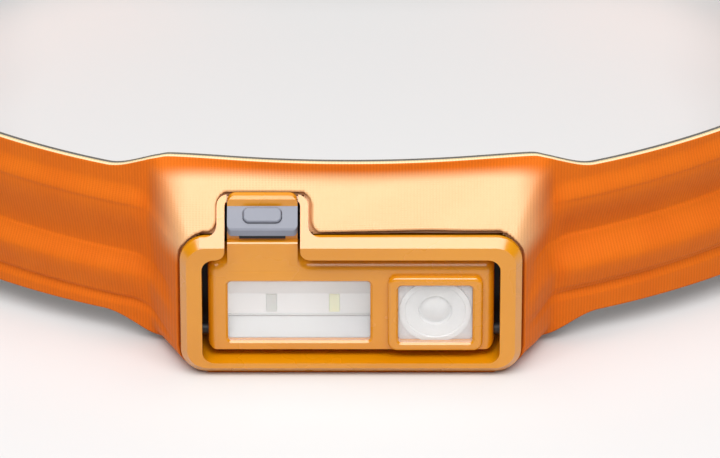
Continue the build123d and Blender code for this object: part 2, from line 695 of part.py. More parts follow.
def pack_gasket():
    ring = pack_prism(-PACK_WALL - 0.1, PACK_SPLIT, PACK_SPLIT + 0.8, PACK_CORNER - PACK_WALL - 0.1)
    ring -= pack_prism(-PACK_WALL - 0.9, PACK_SPLIT - 1, PACK_SPLIT + 2, PACK_CORNER - PACK_WALL - 0.9)
    return ring


def pack_screws():
    return Compound([screw_y(x, z, PACK_FRONT, PACK_SCREW_TIP) for x, z in PACK_SCREWS])


def battery_cell():
    return tile(-22, 20, 165.5, 173.5, 4, 34, 3)


def charge_board():
    return tile(-20, 24, 162.5, 163.7, 10, 42 - PACK_WALL - 1, 1)


def status_lights():
    return Compound([rod_y(x, LIGHT_Z, 0.8, PACK_BACK - 2.6, PACK_BACK) for x in LIGHT_X])


def port_shell():
    """Metal shell of the charging socket, open at the top."""
    shell = block(PORT_X - 4.47, PORT_X + 4.47, PORT_Y - 1.63, PORT_Y + 1.63, 35.4, PACK_TOP - 1.2)
    shell = fillet(shell.edges().filter_by(Axis.Z), 1.5)
    hollow = block(PORT_X - 4.17, PORT_X + 4.17, PORT_Y - 1.28, PORT_Y + 1.28, 36.0, PACK_TOP)
    return shell - fillet(hollow.edges().filter_by(Axis.Z), 1.2)


def port_tongue():
    return block(PORT_X - 3.3, PORT_X + 3.3, PORT_Y - 0.35, PORT_Y + 0.35, 36.0, PACK_TOP - 2.6)


def port_cover():
    """Rubber flap over the socket, with a rim that plugs into the recess."""
    flap = tile(PORT_X - 8.7, PORT_X + 6.7, PORT_Y - 3.1, PORT_Y + 3.1, PACK_TOP - 0.9, PACK_TOP + 0.3, 0.3)
    return flap + block(PORT_X + 6.0, PORT_X + 7.7, PORT_Y - 1.4, PORT_Y + 1.4, PACK_TOP + 0.05, PACK_TOP + 0.3)


def foam_pad():
    return fillet(tile(-25, 25, PACK_FRONT - 2.2, PACK_FRONT, 9, 35, 6).faces().sort_by(Axis.Y)[0].edges(), 1.2)


def strap_bar(side):
    return rod_z(side * BAR_X, BAR_Y, BAR_R, 11.0, 39.8)


# ---------------------------------------------------------------- lead and sliders

def lead_grommet_front():
    sleeve = lead_tube_left(LEAD_R + 0.5) - lead_tube_left(LEAD_R)
    return sleeve & block(-38.0, -32.0, 0, 30, 0, 20)


def lead_grommet_rear():
    y = REAR_Y - LEAD_INSET
    body = rod_x(y, LEAD_Z, LEAD_R + 0.5, -EAR_END, -PACK_HALF + 1)
    body += Pos(-EAR_END - 4, y, LEAD_Z) * Rot(0, -90, 0) * Cone(2.2, 1.5, 8)
    return body - rod_x(y, LEAD_Z, LEAD_R, -60, -20)


def lead_keepers():
    """Clips that hold the lead under the elastic strap, spread along the rear corner."""
    keepers = []
    for heading in (100, 125, 150):
        centre = on_arc(REAR_C, REAR_R - LEAD_INSET, heading)
        clip = Rot(0, 0, heading) * (block(-2.2, 2.2, -2.2, 2.2, LEAD_Z - 2, ELASTIC_BOTTOM)
                                     - rod_x(0, LEAD_Z, LEAD_R + 0.15, -3, 3))
        keepers.append(mirrored(Pos(centre.X, centre.Y, 0) * clip))
    return Compound(keepers)


def slider():
    """Right strap slider: a sleeve with two windows, so that a cross bar is left between them."""
    x0 = SIDE_X - 0.2 - ELASTIC_T - SLIDER_GAP
    x1 = SIDE_X - 0.2 + SLIDER_GAP
    y0, y1 = SLIDER_Y - SLIDER_L / 2, SLIDER_Y + SLIDER_L / 2
    sleeve = block(x0 - SLIDER_WALL, x1 + SLIDER_WALL, y0, y1, SLIDER_BOTTOM, SLIDER_TOP)
    sleeve = fillet(sleeve.edges().filter_by(Axis.X), 2)
    sleeve -= block(x0, x1, y0 - 1, y1 + 1, ELASTIC_BOTTOM - 0.3, ELASTIC_TOP + 0.3)
    for centre in (SLIDER_Y - 3.2, SLIDER_Y + 3.2):
        sleeve -= block(x1 - 1, x1 + 5, centre - 2.0, centre + 2.0, ELASTIC_BOTTOM + 1, ELASTIC_TOP - 1)
    return sleeve


# ---------------------------------------------------------------- all pieces

save("front_shroud", front_shroud())
RIGHT_BAND = side_band()
save("side_band_right", RIGHT_BAND)
save("side_band_left", mirrored(RIGHT_BAND) - lead_tube_left(LEAD_R + 0.2))
save("band_lining", band_lining())
RIGHT_ELASTIC = elastic_strap()
save("elastic_strap_right", RIGHT_ELASTIC)
save("elastic_strap_left", mirrored(RIGHT_ELASTIC))
save("power_lead", lead_tube_left(LEAD_R))
save("lead_grommet_front", lead_grommet_front())
save("lead_grommet_rear", lead_grommet_rear())
save("lead_keepers", lead_keepers())

save("front_frame", front_frame())
save("frame_back_plate", frame_back_plate())
save("frame_screws", frame_screws())
save("hinge_bush_left", hinge_bush(-1))
save("hinge_bush_right", hinge_bush(1))
save("detent_spring", detent_spring())

save("lamp_housing", lamp_housing())
save("lamp_back_cover", lamp_back_cover())
save("lamp_cover_screws", cover_screws())
save("lamp_gasket", lamp_gasket())
save("led_board", led_board())
save("flood_window", flood_window())
save("flood_reflector", flood_reflector())
save("flood_led_left", flood_led(FLOOD_LED_X[0]))
save("flood_led_right", flood_led(FLOOD_LED_X[1]))
save("spot_window", spot_window())
save("spot_optic", spot_optic())
save("spot_holder", optic_holder())
save("spot_led", spot_led())
save("hinge_pin_left", hinge_pin(-1))
save("hinge_pin_right", hinge_pin(1))
save("button_plate", button_plate())
save("plate_seal", plate_seal())
save("button_cap", button_cap())
save("button_switch", button_switch())

save("pack_outer_cover", pack_outer_cover())
save("pack_inner_cover", pack_inner_cover())
save("pack_gasket", pack_gasket())
save("pack_screws", pack_screws())
save("battery_cell", battery_cell())
save("charge_board", charge_board())
save("status_lights", status_lights())
save("port_shell", port_shell())
save("port_tongue", port_tongue())
save("port_cover", port_cover())
save("foam_pad", foam_pad())
save("strap_bar_left", strap_bar(-1))
save("strap_bar_right", strap_bar(1))

RIGHT_SLIDER = slider()
save("strap_slider_right", RIGHT_SLIDER)
save("strap_slider_left", mirrored(RIGHT_SLIDER))
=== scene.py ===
import json
import math

import bmesh
import bpy
import numpy as np
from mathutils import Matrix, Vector


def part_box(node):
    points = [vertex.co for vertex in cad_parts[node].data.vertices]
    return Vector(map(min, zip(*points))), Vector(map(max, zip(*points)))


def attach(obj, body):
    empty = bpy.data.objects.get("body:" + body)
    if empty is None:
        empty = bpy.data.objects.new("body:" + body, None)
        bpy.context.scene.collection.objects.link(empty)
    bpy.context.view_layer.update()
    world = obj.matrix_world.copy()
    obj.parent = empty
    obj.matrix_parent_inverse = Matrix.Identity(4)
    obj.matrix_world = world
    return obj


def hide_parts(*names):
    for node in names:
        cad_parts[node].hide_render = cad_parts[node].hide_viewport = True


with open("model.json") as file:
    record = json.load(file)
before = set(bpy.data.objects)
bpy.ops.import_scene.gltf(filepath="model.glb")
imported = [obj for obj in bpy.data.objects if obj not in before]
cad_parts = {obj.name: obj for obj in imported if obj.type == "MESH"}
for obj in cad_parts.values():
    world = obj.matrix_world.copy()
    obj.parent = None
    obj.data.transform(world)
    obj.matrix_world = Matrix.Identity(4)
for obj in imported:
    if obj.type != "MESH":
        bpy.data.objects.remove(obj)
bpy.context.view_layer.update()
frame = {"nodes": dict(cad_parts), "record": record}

MM = 0.001
FRAME_LOW, FRAME_HIGH = [np.array(corner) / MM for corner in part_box("front_frame")]
BAND_LOW, BAND_HIGH = [np.array(corner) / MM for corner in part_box("side_band_right")]
PANEL_HIGH = np.array(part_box("front_shroud")[1]) / MM
ELASTIC_LOW, ELASTIC_HIGH = [np.array(corner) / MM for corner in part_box("elastic_strap_right")]
FACE_Y = FRAME_LOW[1]

# Plan of the headband's outer line, in millimetres, as the CAD has it
FRONT_R = 140.0
FRONT_Y = 7.4
FRONT_TURN = math.radians(33.0)
TEMPLE_R = 52.0
SIDE_RUN = 40.0
REAR_R = 50.0
SIDE_T = 3.2
PANEL_HALF = PANEL_HIGH[0]
PANEL_R = 185.0
PANEL_BACK = 12.4
STRIP_FRONT = 10.5
SIDE_BOTTOM = BAND_LOW[2]
SIDE_TOP = BAND_HIGH[2]
PANEL_TOP = PANEL_HIGH[2]

# Frame outline on the front plane, heights from the floor
FRAME_HALF = FRAME_HIGH[0]
FRAME_BOTTOM = FRAME_LOW[2]
FRAME_TOP = 32.85
PANEL_FRONT = 1.75
FRAME_CORNER = 5.5
SLOPE_BASE = 31.2
HUMP_X = -18.0
HUMP_HALF = 9.3
HUMP_TOP = FRAME_HIGH[2]

# The hole in the cloth round the frame: how far its edge dips in, over which gap from the frame
HOLE_DIP = 2.4
HOLE_START = 0.05
HOLE_END = 0.6
HOLE_SHIFT = 0.3
HOLE_CUT = -0.5

# Soft folds on the slope, each with its two ends in X and height and how much the slope turns there
CREASES = (
    ((1.8, 37.2), (21.4, 43.2), 0.13),
    ((16.2, 33.8), (31.6, 41.9), -0.15),
    ((26.0, 34.1), (39.0, 39.6), 0.13),
    ((-42.0, 42.0), (-28.0, 36.5), 0.13),
)
RIB_SCALE = 1.35


# ---------------------------------------------------------------- small helpers

def smoothstep(low, high, value):
    t = np.clip((value - low) / (high - low), 0.0, 1.0)
    return t * t * (3 - 2 * t)


def smooth_max(a, b, r):
    h = np.clip(0.5 + 0.5 * (a - b) / r, 0, 1)
    return b * (1 - h) + a * h + r * h * (1 - h)


def smooth_min(a, b, r):
    return -smooth_max(-a, -b, r)


def new_object(name, verts, faces, body, material, uvs=None):
    """Smooth mesh object from vertices in millimetres."""
    mesh = bpy.data.meshes.new(name)
    mesh.from_pydata([tuple(float(c) * MM for c in v) for v in verts], [], faces)
    mesh.validate()
    mesh.polygons.foreach_set("use_smooth", [True] * len(mesh.polygons))
    if uvs is not None:
        layer = mesh.uv_layers.new(name="cloth")
        index = np.zeros(len(mesh.loops), np.int32)
        mesh.loops.foreach_get("vertex_index", index)
        layer.data.foreach_set("uv", np.asarray(uvs, np.float32)[index].ravel())
    mesh.materials.append(material)
    obj = bpy.data.objects.new(name, mesh)
    bpy.context.scene.collection.objects.link(obj)
    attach(obj, body)
    return obj


# ---------------------------------------------------------------- materials

def linear(r, g, b):
    """Scene colour of a display colour given from 0 to 255."""
    values = [c / 255 for c in (r, g, b)]
    return tuple(c / 12.92 if c <= 0.04045 else ((c + 0.055) / 1.055) ** 2.4 for c in values) + (1.0,)


class Maker:
    """Builds one node material."""

    def __init__(self, name):
        self.material = bpy.data.materials.new(name)
        self.material.use_nodes = True
        self.tree = self.material.node_tree
        self.shader = self.tree.nodes["Principled BSDF"]

    def node(self, kind, **inputs):
        made = self.tree.nodes.new(kind)
        for key, value in inputs.items():
            made.inputs[key.replace("_", " ")].default_value = value
        return made

    def link(self, source, output, target, entry):
        self.tree.links.new(source.outputs[output], target.inputs[entry])

    def set(self, **values):
        for key, value in values.items():
            self.shader.inputs[key.replace("_", " ")].default_value = value

    def mix(self, factor, output, first, second):
        """Colour mix of two colours driven by a node's output."""
        made = self.tree.nodes.new("ShaderNodeMix")
        made.data_type = "RGBA"
        made.inputs[6].default_value = first
        made.inputs[7].default_value = second
        self.tree.links.new(factor.outputs[output], made.inputs[0])
        return made

    def bump(self, height, output, strength, distance, after=None):
        made = self.node("ShaderNodeBump", Strength=strength, Distance=distance)
        self.link(height, output, made, "Height")
        if after is not None:
            self.link(after, "Normal", made, "Normal")
        self.link(made, "Normal", self.shader, "Normal")
        return made


def moulded_plastic(name, colour, darker, roughness, grain=0.12, coat=0.0, subsurface=0.0):
    """Injection-moulded plastic: fine spark-eroded grain and faint colour variation."""
    m = Maker(name)
    coords = m.tree.nodes.new("ShaderNodeTexCoord")
    cloud = m.node("ShaderNodeTexNoise", Scale=60.0, Detail=3.0)
    m.link(coords, "Object", cloud, "Vector")
    ramp = m.node("ShaderNodeMapRange")
    ramp.inputs["From Min"].default_value = 0.35
    ramp.inputs["From Max"].default_value = 0.65
    m.link(cloud, "Fac", ramp, "Value")
    tone = m.mix(ramp, "Result", darker, colour)
    m.tree.links.new(tone.outputs[2], m.shader.inputs["Base Color"])
    fine = m.node("ShaderNodeTexNoise", Scale=9000.0, Detail=2.0)
    m.link(coords, "Object", fine, "Vector")
    rough = m.node("ShaderNodeMapRange")
    rough.inputs["To Min"].default_value = roughness - 0.05
    rough.inputs["To Max"].default_value = roughness + 0.05
    m.link(cloud, "Fac", rough, "Value")
    m.link(rough, "Result", m.shader, "Roughness")
    m.bump(fine, "Fac", grain, 0.00002)
    m.set(IOR=1.5, Coat_Weight=coat, Coat_Roughness=0.25, Subsurface_Weight=subsurface,
          Subsurface_Scale=0.002)
    return m.material


def ribbed_fabric(name, colour, deep, light, pitch, sheen, roughness=0.75, strength=0.5, shine=0.3,
                  slope_highlight=None):
    """Fine ribbed knit that follows the strip: ribs across it, courses along it, and soft mottling."""
    m = Maker(name)
    uv = m.tree.nodes.new("ShaderNodeUVMap")
    uv.uv_map = "cloth"
    ribs = m.tree.nodes.new("ShaderNodeTexWave")
    ribs.bands_direction = "X"
    ribs.inputs["Scale"].default_value = 0.3142 / pitch
    ribs.inputs["Distortion"].default_value = 0.6
    ribs.inputs["Detail"].default_value = 1.0
    courses = m.tree.nodes.new("ShaderNodeTexWave")
    courses.bands_direction = "Y"
    courses.inputs["Scale"].default_value = 0.3142 / (pitch * 0.55)
    courses.inputs["Distortion"].default_value = 0.8
    m.link(uv, "UV", ribs, "Vector")
    m.link(uv, "UV", courses, "Vector")
    cloud = m.node("ShaderNodeTexNoise", Scale=0.12, Detail=4.0)
    m.link(uv, "UV", cloud, "Vector")
    fibre = m.node("ShaderNodeTexNoise", Scale=6.0, Detail=3.0)
    m.link(uv, "UV", fibre, "Vector")
    tone = m.mix(cloud, "Fac", deep, light)
    thread = m.tree.nodes.new("ShaderNodeMix")
    thread.data_type = "RGBA"
    thread.blend_type = "MULTIPLY"
    thread.inputs[0].default_value = 0.22
    m.tree.links.new(tone.outputs[2], thread.inputs[6])
    m.link(ribs, "Color", thread, 7)
    blend = m.tree.nodes.new("ShaderNodeMix")
    blend.data_type = "RGBA"
    blend.inputs[0].default_value = 0.5
    blend.inputs[7].default_value = colour
    m.tree.links.new(thread.outputs[2], blend.inputs[6])
    m.tree.links.new(blend.outputs[2], m.shader.inputs["Base Color"])
    height = m.tree.nodes.new("ShaderNodeMath")
    height.operation = "MULTIPLY_ADD"
    height.inputs[1].default_value = 0.5
    m.link(courses, "Fac", height, 0)
    m.link(ribs, "Fac", height, 2)
    grain = m.bump(fibre, "Fac", 0.2, 0.00006)
    m.bump(height, "Value", strength, 0.00012, after=grain)
    # a given slope colour is a painted highlight laid over the cloth on the front panel's slope
    if slope_highlight is not None:
        paint_slope_highlight(m, uv, blend, slope_highlight)
    m.set(Roughness=roughness, Sheen_Weight=sheen, Sheen_Roughness=0.45,
          Sheen_Tint=(1.0, 0.8, 0.45, 1.0), Specular_IOR_Level=shine, Specular_Tint=(1.0, 0.9, 0.7, 1.0))
    return m.material


def soft_limit(m, source, output, low, high):
    """0 to 1 ramp of a value between two limits."""
    ramp = m.node("ShaderNodeMapRange")
    ramp.interpolation_type = "SMOOTHSTEP"
    ramp.inputs["From Min"].default_value = low
    ramp.inputs["From Max"].default_value = high
    m.link(source, output, ramp, "Value")
    return ramp


def paint_slope_highlight(m, uv, tone, slope_highlight):
    """Paler colour painted over the front panel's slope as a painted highlight, with a smoother and shinier
    finish in the same zone.
    """
    split = m.tree.nodes.new("ShaderNodeSeparateXYZ")
    m.link(uv, "UV", split, "Vector")
    away = m.tree.nodes.new("ShaderNodeMath")
    away.operation = "ABSOLUTE"
    m.link(split, "X", away, 0)
    across = soft_limit(m, away, "Value", 42.5, 33.0)
    upper = soft_limit(m, split, "Y", 43.6, 41.0)
    lower = soft_limit(m, split, "Y", 25.0, 31.5)
    first = m.tree.nodes.new("ShaderNodeMath")
    second = m.tree.nodes.new("ShaderNodeMath")
    for product in (first, second):
        product.operation = "MULTIPLY"
    m.link(across, "Result", first, 0)
    m.link(upper, "Result", first, 1)
    m.link(first, "Value", second, 0)
    m.link(lower, "Result", second, 1)
    # painted highlight: inside the slope mask the base colour is mixed toward the pale slope colour, which
    # stands in for light on the slope
    highlight_mix = m.tree.nodes.new("ShaderNodeMix")
    highlight_mix.data_type = "RGBA"
    highlight_mix.inputs[7].default_value = slope_highlight
    m.link(second, "Value", highlight_mix, 0)
    m.tree.links.new(tone.outputs[2], highlight_mix.inputs[6])
    m.tree.links.new(highlight_mix.outputs[2], m.shader.inputs["Base Color"])
    for entry, low, high in (("Roughness", 0.7, 0.42), ("Specular IOR Level", 0.2, 0.9)):
        ramp = m.node("ShaderNodeMapRange")
        ramp.inputs["To Min"].default_value = low
        ramp.inputs["To Max"].default_value = high
        m.link(second, "Value", ramp, "Value")
        m.link(ramp, "Result", m.shader, entry)


def satin_tray_painted_shade(name):
    """Satin reflector with painted shade: a pale upper part, a greyer lower slope painted as shade, and the
    colour painted darker from left to right.
    """
    m = Maker(name)
    coords = m.tree.nodes.new("ShaderNodeTexCoord")
    split = m.tree.nodes.new("ShaderNodeSeparateXYZ")
    m.link(coords, "Object", split, "Vector")
    # painted shade: below about 10.5 mm the tray's colour turns to the greyer tones
    lower = soft_limit(m, split, "Z", 10.9 * MM, 10.5 * MM)
    # painted shade: the colour darkens from the left side to the right, in both the pale and the grey tones
    side = soft_limit(m, split, "X", -12 * MM, 6 * MM)
    top = m.mix(side, "Result", linear(250, 250, 250), linear(222, 222, 222))
    low = m.mix(side, "Result", linear(172, 172, 172), linear(156, 156, 158))
    both = m.tree.nodes.new("ShaderNodeMix")
    both.data_type = "RGBA"
    m.link(lower, "Result", both, 0)
    m.tree.links.new(top.outputs[2], both.inputs[6])
    m.tree.links.new(low.outputs[2], both.inputs[7])
    m.tree.links.new(both.outputs[2], m.shader.inputs["Base Color"])
    grain = m.node("ShaderNodeTexNoise", Scale=4000.0, Detail=2.0)
    m.link(coords, "Object", grain, "Vector")
    m.bump(grain, "Fac", 0.1, 0.00001)
    m.set(Roughness=0.42, Metallic=0.35)
    return m.material


def thin_clear(name, alpha):
    """Clear moulding drawn as a clean see-through skin that keeps its surface reflection."""
    m = Maker(name)
    coords = m.tree.nodes.new("ShaderNodeTexCoord")
    flow = m.node("ShaderNodeTexNoise", Scale=180.0, Detail=1.0)
    m.link(coords, "Object", flow, "Vector")
    m.bump(flow, "Fac", 0.05, 0.00005)
    m.set(Base_Color=(1, 1, 1, 1), Roughness=0.05, IOR=1.49, Alpha=alpha)
    return m.material


def metal(name, colour, roughness, brushed=0.1):
    m = Maker(name)
    coords = m.tree.nodes.new("ShaderNodeTexCoord")
    scratches = m.node("ShaderNodeTexNoise", Scale=2500.0, Detail=3.0)
    m.link(coords, "Object", scratches, "Vector")
    spread = m.node("ShaderNodeMapRange")
    spread.inputs["To Min"].default_value = max(roughness - brushed, 0.02)
    spread.inputs["To Max"].default_value = roughness + brushed
    m.link(scratches, "Fac", spread, "Value")
    m.link(spread, "Result", m.shader, "Roughness")
    m.set(Base_Color=colour, Metallic=1.0)
    return m.material


ORANGE = linear(219, 142, 4)
ORANGE_DEEP = linear(213, 136, 2)
PLASTIC = moulded_plastic("orange_plastic", ORANGE, ORANGE_DEEP, 0.27, grain=0.05, coat=0.8)
GREY = moulded_plastic("grey_plastic", linear(130, 132, 144), linear(124, 127, 139), 0.4)
DARK = moulded_plastic("dark_plastic", linear(44, 45, 48), linear(36, 37, 40), 0.5)
RUBBER = moulded_plastic("black_rubber", linear(34, 34, 36), linear(26, 26, 28), 0.7, grain=0.3)
WHITE = moulded_plastic("white_plastic", linear(235, 235, 235), linear(228, 228, 228), 0.3)
BOARD = moulded_plastic("board_green", linear(40, 110, 62), linear(30, 92, 50), 0.35, coat=0.4)
FILM = metal("cell_film", linear(190, 192, 196), 0.35)
STEEL = metal("steel", linear(200, 200, 202), 0.28)
CHROME = metal("bright_reflector", linear(238, 238, 240), 0.12, brushed=0.04)
CLEAR = thin_clear("clear_plastic", 0.14)
OPTIC = thin_clear("optic_plastic", 0.6)
SATIN = moulded_plastic("satin_white", linear(212, 210, 212), linear(204, 202, 204), 0.35, grain=0.05)
PHOSPHOR = moulded_plastic("led_phosphor", linear(250, 244, 200), linear(244, 236, 186), 0.4, subsurface=0.3)
LED_CLEAR = moulded_plastic("led_clear", linear(232, 232, 228), linear(222, 222, 218), 0.3, subsurface=0.3)
# the last colour, for the front panel's slope, is a painted highlight
FABRIC = ribbed_fabric("orange_fabric", linear(220, 105, 14), linear(206, 89, 8), linear(230, 119, 18),
                       0.65, 0.08, roughness=0.7, shine=0.2, strength=0.3, slope_highlight=linear(224, 172, 120))
# painted highlight: the band's top edge is coloured cream where the light falls on it
EDGE_HIGHLIGHT = ribbed_fabric("fabric_edge_painted_highlight", linear(250, 224, 176), linear(246, 214, 160), linear(252, 232, 190),
                     0.65, 0.2, strength=0.2)
# the tray's colours carry painted shade
TRAY_PAINTED_SHADE = satin_tray_painted_shade("satin_tray_painted_shade")
LINING = ribbed_fabric("grey_lining", linear(92, 94, 98), linear(80, 82, 86), linear(104, 106, 110), 0.9, 0.3)
WEBBING = ribbed_fabric("orange_webbing", linear(214, 108, 30), linear(196, 92, 20), linear(226, 124, 40),
                        1.0, 0.3, strength=0.9)
THREAD = moulded_plastic("thread", linear(238, 150, 60), linear(226, 134, 44), 0.6, grain=0.3)
FOAM = ribbed_fabric("grey_foam", linear(70, 72, 76), linear(60, 62, 66), linear(82, 84, 88), 1.2, 0.3)

BY_SLOT = {
    "orange_fabric": FABRIC, "grey_lining": LINING, "orange_webbing": WEBBING, "orange_plastic": PLASTIC,
    "grey_plastic": GREY, "dark_plastic": DARK, "black_rubber": RUBBER, "clear_plastic": CLEAR,
    "bright_reflector": CHROME, "white_plastic": WHITE, "led_phosphor": PHOSPHOR, "led_clear": LED_CLEAR,
    "board_green": BOARD, "steel": STEEL, "cell_film": FILM, "grey_foam": FOAM,
}


def paint_nodes():
    """Every CAD node takes the material of its record slot, apart from three pieces inside the lamp."""
    for part in frame["record"]["subparts"]:
        obj = frame["nodes"][part["node"]]
        obj.data.materials.clear()
        obj.data.materials.append(BY_SLOT[part["material_slot"]])
    # the flood reflector takes the tray material with painted shade
    for node, material in (("flood_reflector", TRAY_PAINTED_SHADE), ("spot_holder", SATIN), ("spot_optic", OPTIC)):
        frame["nodes"][node].data.materials[0] = material


# ---------------------------------------------------------------- headband surface

FRONT_LENGTH = FRONT_R * FRONT_TURN
TEMPLE_LENGTH = TEMPLE_R * (math.pi / 2 - FRONT_TURN)
BAND_END = FRONT_LENGTH + TEMPLE_LENGTH + 1.0


def band_line(s, inset=0.0):
    """X, Y and the two parts of the inward normal along the outer line, s from the centre."""
    side = np.sign(s)
    run = np.abs(s)
    front_centre = FRONT_Y + FRONT_R
    temple_x = (FRONT_R - TEMPLE_R) * math.sin(FRONT_TURN)
    temple_y = front_centre - (FRONT_R - TEMPLE_R) * math.cos(FRONT_TURN)
    heading = np.where(run < FRONT_LENGTH, run / FRONT_R, FRONT_TURN + (run - FRONT_LENGTH) / TEMPLE_R)
    heading = np.minimum(heading, math.pi / 2)
    on_front = run < FRONT_LENGTH
    r = np.where(on_front, FRONT_R, TEMPLE_R)
    x = np.where(on_front, 0, temple_x) + r * np.sin(heading)
    y = np.where(on_front, front_centre, temple_y) - r * np.cos(heading)
    y = y + np.maximum(run - FRONT_LENGTH - TEMPLE_LENGTH, 0)
    nx, ny = -np.sin(heading), np.cos(heading)
    return side * (x + inset * nx), y + inset * ny, side * nx, ny


def frame_distance(x, z):
    """Signed distance on the front plane from the frame's outline, with its hump."""
    def rounded(cx, cz, half_x, half_z, r):
        dx = np.abs(x - cx) - (half_x - r)
        dz = np.abs(z - cz) - (half_z - r)
        return np.hypot(np.maximum(dx, 0), np.maximum(dz, 0)) + np.minimum(np.maximum(dx, dz), 0) - r
    middle, half = (FRAME_TOP + FRAME_BOTTOM) / 2, (FRAME_TOP - FRAME_BOTTOM) / 2
    body = rounded(0, middle, FRAME_HALF, half, FRAME_CORNER)
    hump = rounded(HUMP_X + HOLE_SHIFT, HUMP_TOP - 10.3, HUMP_HALF, 10, 1.9)
    return smooth_min(body, hump, 2.2)


def frame_half_width(z):
    """Half width of the frame's outline at a height, rounded at its lower corners."""
    lift = np.clip(FRAME_CORNER + FRAME_BOTTOM - z, 0, FRAME_CORNER)
    return FRAME_HALF - FRAME_CORNER + np.sqrt(FRAME_CORNER ** 2 - lift ** 2)


def crease(x, z, start, end, lift):
    """Gentle fold along a line on the slope: the surface turns a little where it crosses the line."""
    along = np.array(end, float) - np.array(start, float)
    length = np.hypot(*along)
    side = ((x - start[0]) * along[1] - (z - start[1]) * along[0]) / length
    return lift * smooth_max(side, 0 * side, 1.2)


def ribs(s, z):
    """How far the moulded section stands out from a plain strap: an upper lobe, a ledge and low grooves."""
    right = s > 0
    drift = np.clip((np.abs(s) - 60) * np.where(right, 0.03, 0.02), -0.5, 2.0)
    near = smoothstep(46, 36, np.abs(s))
    drift = drift - near * np.where(right, 1.6, 3.0)
    crease_z = np.where(right, 34.6, 33.2) + drift
    ridge_z = np.where(right, 24.6, 20.5) + drift
    groove_z = np.where(right, 12.2, 9.8) + drift
    lobe = 0.95 * smoothstep(crease_z + 4.6, crease_z + 0.2, z)
    lobe = lobe - 0.12 * smoothstep(crease_z + 0.25, crease_z - 0.25, z)
    hollow = np.where(right, 2.1, 1.7) * smoothstep(crease_z - 0.5, ridge_z - 0.2, z)
    ledge_run = np.where(right, 6.4, 4.2)
    ledge = np.where(right, 2.5, 1.5) * smoothstep(ridge_z + 0.35, ridge_z - ledge_run, z)
    step = np.where(right, 0.35, 0.25) * smoothstep(ridge_z + 0.3, ridge_z - 0.3, z)
    lower = 0.8 * smoothstep(ridge_z - ledge_run, groove_z, z)
    hem = 0.45 * smoothstep(groove_z + 0.9, groove_z - 0.1, z)
    hem = hem - 0.5 * smoothstep(groove_z - 0.3, groove_z - 2.0, z)
    second = 0.3 * smoothstep(groove_z + 1.9, groove_z + 1.2, z) * right
    return RIB_SCALE * (lobe - hollow + ledge + step - lower - hem - second)


def top_edge(x, s):
    """Height of the band's upper edge: high over the panel, lower on the straps."""
    height = SIDE_TOP + (PANEL_TOP - SIDE_TOP) * (1 - smoothstep(37.5, 50.0, np.abs(x)))
    return height - 2.5 * smoothstep(BAND_END - 30, BAND_END, np.abs(s))


def bottom_edge(x, s):
    height = SIDE_BOTTOM * smoothstep(34.5, 51.0, np.abs(x))
    return height + 0.8 * smoothstep(BAND_END - 30, BAND_END, np.abs(s))


def outer_surface(s, z):
    """Outer face of the headband: ribbed straps that run into the panel's facets and slope."""
    x, y, nx, ny = band_line(s)
    section = ribs(s, z)
    rise = section * smoothstep(39, 46, np.abs(s))
    x, y = x - nx * rise, y - ny * rise
    strip = STRIP_FRONT + x ** 2 / (2 * PANEL_R)
    inside = smoothstep(PANEL_HALF + 1.0, PANEL_HALF - 5.0, np.abs(x))
    back = y * (1 - inside) + strip * inside
    slope = z - SLOPE_BASE + 0.15
    for start, end, lift in CREASES:
        slope = slope + crease(x, z, start, end, lift)
    facet = PANEL_FRONT + 2.0 * (np.abs(x) - frame_half_width(z) - 0.2)
    facet = facet - 1.2 * section * smoothstep(35.5, 38.5, np.abs(x)) * smoothstep(36, 30, z)
    wedge = smooth_max(smooth_max(slope, facet, 5.0), np.full_like(x, PANEL_FRONT), 1.0)
    y = smooth_min(back, wedge, 1.6)
    gap = frame_distance(x, z)
    y = y + HOLE_DIP * (1 - smoothstep(HOLE_START, HOLE_END, gap))
    return x, y


def inner_surface(s, z, inset):
    """Inner face: the forehead arc behind the panel and the strap's own arc beside it."""
    x, y, _, _ = band_line(s, SIDE_T + inset)
    plate_y = PANEL_BACK + inset + x ** 2 / (2 * PANEL_R)
    centre = smoothstep(PANEL_HALF + 4, PANEL_HALF - 4, np.abs(x))
    return x, y * (1 - centre) + plate_y * centre


def band_grid():
    """Arc lengths of the columns, finer over the panel and its facets, and the row fractions."""
    fine = np.linspace(0, 52, 175)
    coarse = np.linspace(52, BAND_END, 82)[1:]
    half = np.concatenate([fine, coarse])
    columns = np.concatenate([-half[:0:-1], half])
    rows = np.linspace(0, 1, 128)
    return np.meshgrid(columns, rows)


def band_shell():
    """Grids of the fabric's outer face, its back and the lining's two faces."""
    s, t = band_grid()
    x0, _, _, _ = band_line(s)
    low, high = bottom_edge(x0, s), top_edge(x0, s)
    z = low + t * (high - low)
    ox, oy = outer_surface(s, z)
    ix, iy = inner_surface(s, z, 0.0)
    edge = np.minimum(z - low, high - z)
    flat = smoothstep(33.0, 42.0, np.abs(x0)) * (z < 20) + (z >= 20)
    pinch = 1 - (1 - smoothstep(0.0, 5.0, edge)) * flat
    _, _, nx, ny = band_line(s)
    px, py = ox + 1.1 * nx, oy + 1.1 * ny
    bx, by = ix * pinch + px * (1 - pinch), iy * pinch + py * (1 - pinch)
    return s, z, (ox, oy), (bx, by), (nx, ny)


def shell_faces(rows, columns):
    """Closed shell of two grids: the front one first, then the back one."""
    faces = []
    size = rows * columns
    for r in range(rows - 1):
        for c in range(columns - 1):
            a = r * columns + c
            faces.append((a, a + 1, a + columns + 1, a + columns))
            b = a + size
            faces.append((b, b + columns, b + columns + 1, b + 1))
    rim = [r * columns for r in range(rows)] + [(rows - 1) * columns + c for c in range(1, columns)]
    rim += [r * columns + columns - 1 for r in range(rows - 2, -1, -1)] + list(range(columns - 2, 0, -1))
    for i, a in enumerate(rim):
        b = rim[(i + 1) % len(rim)]
        faces.append((a, b, b + size, a + size))
    return faces


